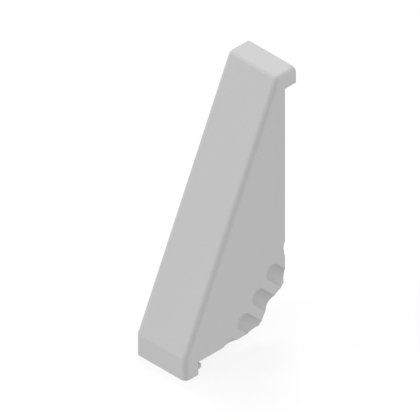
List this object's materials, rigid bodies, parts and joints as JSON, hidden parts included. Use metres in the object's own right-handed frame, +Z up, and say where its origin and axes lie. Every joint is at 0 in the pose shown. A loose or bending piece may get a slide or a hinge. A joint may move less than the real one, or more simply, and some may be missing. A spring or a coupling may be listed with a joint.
{
  "type": "bracket cover cap",
  "caption": "Hollow moulded wedge cap with rolled outer edges, lipped ends and fluted side walls, which snaps over an angle bracket to hide it.",
  "frame": {"origin": "outer corner of the angle bracket, in the cap's middle plane, where the planes of the bracket's two legs meet", "axes": "+Z up along the bracket's long leg, +Y from the front lip to the long leg's plane, X across the width"},
  "size_m": [0.0374, 0.083, 0.1629],
  "materials": {
    "grey_plastic": "fine spark-eroded mould texture"
  },
  "bodies": {
    "root": {"cover_cap": "grey_plastic"}
  },
  "joints": []
}
